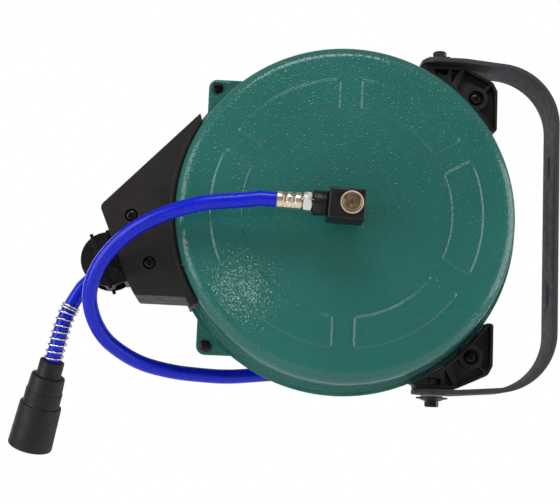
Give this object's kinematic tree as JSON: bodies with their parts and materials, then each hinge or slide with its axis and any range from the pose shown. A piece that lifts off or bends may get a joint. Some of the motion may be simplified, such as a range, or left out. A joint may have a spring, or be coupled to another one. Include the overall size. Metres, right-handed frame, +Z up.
{
  "type": "retractable air hose reel",
  "caption": "Wall-mounted retractable air hose reel: round steel case on a swivel strap, spring drum, hose guide with rollers, blue hose with boot and lead-in hose.",
  "frame": {"origin": "middle of the strap's flat face that lies on the wall", "axes": "+X into the wall, +Z up along the swivel axis, +Y to the back of the reel; the reel axis is parallel to Y"},
  "size_m": [0.4388, 0.1766, 0.347],
  "materials": {
    "green_enamel": "hammered gloss enamel on pressed steel",
    "black_plastic": "moulded black plastic, slight sheen",
    "strap_coat": "satin charcoal powder coat on bent steel bar",
    "zinc_steel": "bright zinc plate",
    "dark_steel": "dark passivated steel",
    "brass": "pale brass, lightly worn",
    "blue_hose": "smooth glossy blue hose",
    "black_rubber": "matte black moulded rubber",
    "drum_plastic": "moulded grey plastic",
    "spring_steel": "blued spring steel",
    "nylon": "natural nylon"
  },
  "bodies": {
    "wall_bracket": {"wall_strap": "strap_coat", "swivel_bush_upper": "nylon", "swivel_bush_lower": "nylon"},
    "drum": {"drum_barrel": "drum_plastic", "drum_rear_flange": "drum_plastic", "hose_core": "blue_hose", "hose_winding": "blue_hose", "spindle": "brass", "power_spring": "spring_steel"},
    "pawl": {"pawl": "dark_steel"},
    "roller_a": {"roller_1": "nylon"},
    "roller_b": {"roller_2": "nylon"},
    "roller_c": {"roller_3": "nylon"},
    "roller_d": {"roller_4": "nylon"},
    "reel_case": {"tooth_washer_upper": "dark_steel", "tooth_washer_lower": "dark_steel", "swivel_bolt_upper": "dark_steel", "swivel_bolt_lower": "dark_steel", "ear_screw_upper_left": "dark_steel", "ear_screw_lower_left": "dark_steel", "ear_screw_upper_right": "dark_steel", "ear_screw_lower_right": "dark_steel", "guide_screw_1": "dark_steel", "guide_screw_2": "dark_steel", "inlet_block": "dark_steel", "connector_sleeve": "dark_steel", "swivel_nut_upper": "zinc_steel", "swivel_nut_lower": "zinc_steel", "roller_pin_1": "zinc_steel", "roller_pin_2": "zinc_steel", "roller_pin_3": "zinc_steel", "roller_pin_4": "zinc_steel", "spring_arbor": "zinc_steel", "arbor_washer": "zinc_steel", "arbor_nut": "zinc_steel", "pawl_pin": "zinc_steel", "bend_guard": "zinc_steel", "coupler": "zinc_steel", "retaining_ring": "zinc_steel", "hex_nipple": "zinc_steel", "inlet_plug": "zinc_steel", "corner_bracket_upper": "black_plastic", "corner_bracket_lower": "black_plastic", "guide_front": "black_plastic", "guide_rear": "black_plastic", "roller_cage": "black_plastic", "front_bush": "black_plastic", "front_cover": "green_enamel", "rear_cover": "green_enamel", "hose_lead_out": "blue_hose", "outlet_hose": "blue_hose", "inlet_hose": "blue_hose", "inlet_hose_coil": "blue_hose", "crimp_ferrule": "brass", "hose_boot": "black_rubber", "coil_tie": "black_rubber"}
  },
  "joints": [
    {"name": "reel_swivel", "type": "hinge", "parent": "wall_bracket", "child": "reel_case", "pos_m": [-0.0973, 0, 0], "axis": [0, 0, 1], "range_deg": [-90, 90]},
    {"name": "drum_spin", "type": "hinge", "parent": "reel_case", "child": "drum", "pos_m": [-0.175, 0, 0], "axis": [0, 1, 0], "continuous": true, "deforming": ["power_spring", "hose_winding"]},
    {"name": "pawl_swing", "type": "hinge", "parent": "reel_case", "child": "pawl", "pos_m": [-0.227, 0.035, 0.05], "axis": [0, 1, 0], "range_deg": [0, 8], "stiffness_Nm_per_rad": 0.02},
    {"name": "roller_a_spin", "type": "hinge", "parent": "reel_case", "child": "roller_a", "pos_m": [-0.36249, 0, -0.02598], "axis": [0, 1, 0], "continuous": true},
    {"name": "roller_b_spin", "type": "hinge", "parent": "reel_case", "child": "roller_b", "pos_m": [-0.36131, 0, -0.05862], "axis": [0, 1, 0], "continuous": true},
    {"name": "roller_c_spin", "type": "hinge", "parent": "reel_case", "child": "roller_c", "pos_m": [-0.35344, 0, -0.05038], "axis": [0, 1, 0], "continuous": true},
    {"name": "roller_d_spin", "type": "hinge", "parent": "reel_case", "child": "roller_d", "pos_m": [-0.37787, 0, -0.03687], "axis": [0, 1, 0], "continuous": true}
  ]
}
